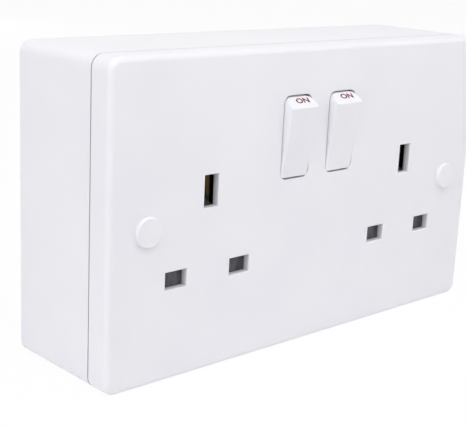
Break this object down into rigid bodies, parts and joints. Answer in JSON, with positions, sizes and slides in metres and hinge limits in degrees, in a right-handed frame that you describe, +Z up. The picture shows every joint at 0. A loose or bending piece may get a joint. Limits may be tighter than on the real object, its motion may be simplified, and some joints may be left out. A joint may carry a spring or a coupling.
{
  "type": "switched socket outlet",
  "caption": "Wall socket outlet with a pair of rocker switches, shuttered flat pin apertures and a deep surface wall box.",
  "frame": {"origin": "middle of the wall face of the box", "axes": "+X to the right seen from the front, the front plate looks along -Y, +Z up"},
  "size_m": [0.145, 0.0425, 0.086],
  "materials": {
    "white_moulding": "white urea moulding, light gloss",
    "inner_moulding": "off-white moulding, matt",
    "shutter_moulding": "grey moulding, matt",
    "brass": "stamped brass",
    "plated_steel": "zinc plated",
    "silver_alloy": "silver alloy rivet"
  },
  "bodies": {
    "housing": {"pattress_box": "white_moulding", "box_inserts": "brass", "front_plate": "white_moulding", "rear_cover": "inner_moulding", "cover_screws": "plated_steel", "fixing_screws": "plated_steel", "screw_cap_left": "white_moulding", "screw_cap_right": "white_moulding", "fixed_tips": "silver_alloy", "live_busbar": "brass", "live_strap_left": "brass", "live_strap_right": "brass", "neutral_strap": "brass", "earth_strap": "brass", "terminal_live": "brass", "terminal_neutral": "brass", "terminals_earth": "brass", "terminal_screws": "plated_steel", "shutter_spring_left": "plated_steel", "shutter_spring_right": "plated_steel"},
    "left_rocker": {"rocker_left": "white_moulding", "plunger_spring_left": "plated_steel"},
    "left_plunger": {"plunger_left": "inner_moulding"},
    "left_contact": {"rocking_contact_left": "brass", "moving_tip_left": "silver_alloy"},
    "left_shutter": {"shutter_left": "shutter_moulding"},
    "right_rocker": {"rocker_right": "white_moulding", "plunger_spring_right": "plated_steel"},
    "right_plunger": {"plunger_right": "inner_moulding"},
    "right_contact": {"rocking_contact_right": "brass", "moving_tip_right": "silver_alloy"},
    "right_shutter": {"shutter_right": "shutter_moulding"}
  },
  "joints": [
    {"name": "left_rocker_tilt", "type": "hinge", "parent": "housing", "child": "left_rocker", "pos_m": [-0.009, -0.0369, 0.01815], "axis": [1, 0, 0], "range_deg": [-17.4, 0]},
    {"name": "left_plunger_slide", "type": "slide", "parent": "left_rocker", "child": "left_plunger", "axis": [0, 0.9885, 0.1513], "range_m": [-0.001, 0], "stiffness_N_per_m": 600, "springref_m": 0.002, "deforming": ["plunger_spring_left"]},
    {"name": "left_contact_rock", "type": "hinge", "parent": "housing", "child": "left_contact", "pos_m": [-0.009, -0.0225, 0.01815], "axis": [1, 0, 0], "range_deg": [0, 19]},
    {"name": "left_shutter_slide", "type": "slide", "parent": "housing", "child": "left_shutter", "axis": [0, 0, 1], "range_m": [-0.0058, 0], "stiffness_N_per_m": 120, "springref_m": 0.004, "deforming": ["shutter_spring_left"]},
    {"name": "right_rocker_tilt", "type": "hinge", "parent": "housing", "child": "right_rocker", "pos_m": [0.009, -0.0369, 0.01815], "axis": [1, 0, 0], "range_deg": [-17.4, 0]},
    {"name": "right_plunger_slide", "type": "slide", "parent": "right_rocker", "child": "right_plunger", "axis": [0, 0.9885, 0.1513], "range_m": [-0.001, 0], "stiffness_N_per_m": 600, "springref_m": 0.002, "deforming": ["plunger_spring_right"]},
    {"name": "right_contact_rock", "type": "hinge", "parent": "housing", "child": "right_contact", "pos_m": [0.009, -0.0225, 0.01815], "axis": [1, 0, 0], "range_deg": [0, 19]},
    {"name": "right_shutter_slide", "type": "slide", "parent": "housing", "child": "right_shutter", "axis": [0, 0, 1], "range_m": [-0.0058, 0], "stiffness_N_per_m": 120, "springref_m": 0.004, "deforming": ["shutter_spring_right"]}
  ],
  "couplings": [
    {"joint": "left_contact_rock", "follows": "left_rocker_tilt", "ratio": -1.0919},
    {"joint": "right_contact_rock", "follows": "right_rocker_tilt", "ratio": -1.0919}
  ]
}
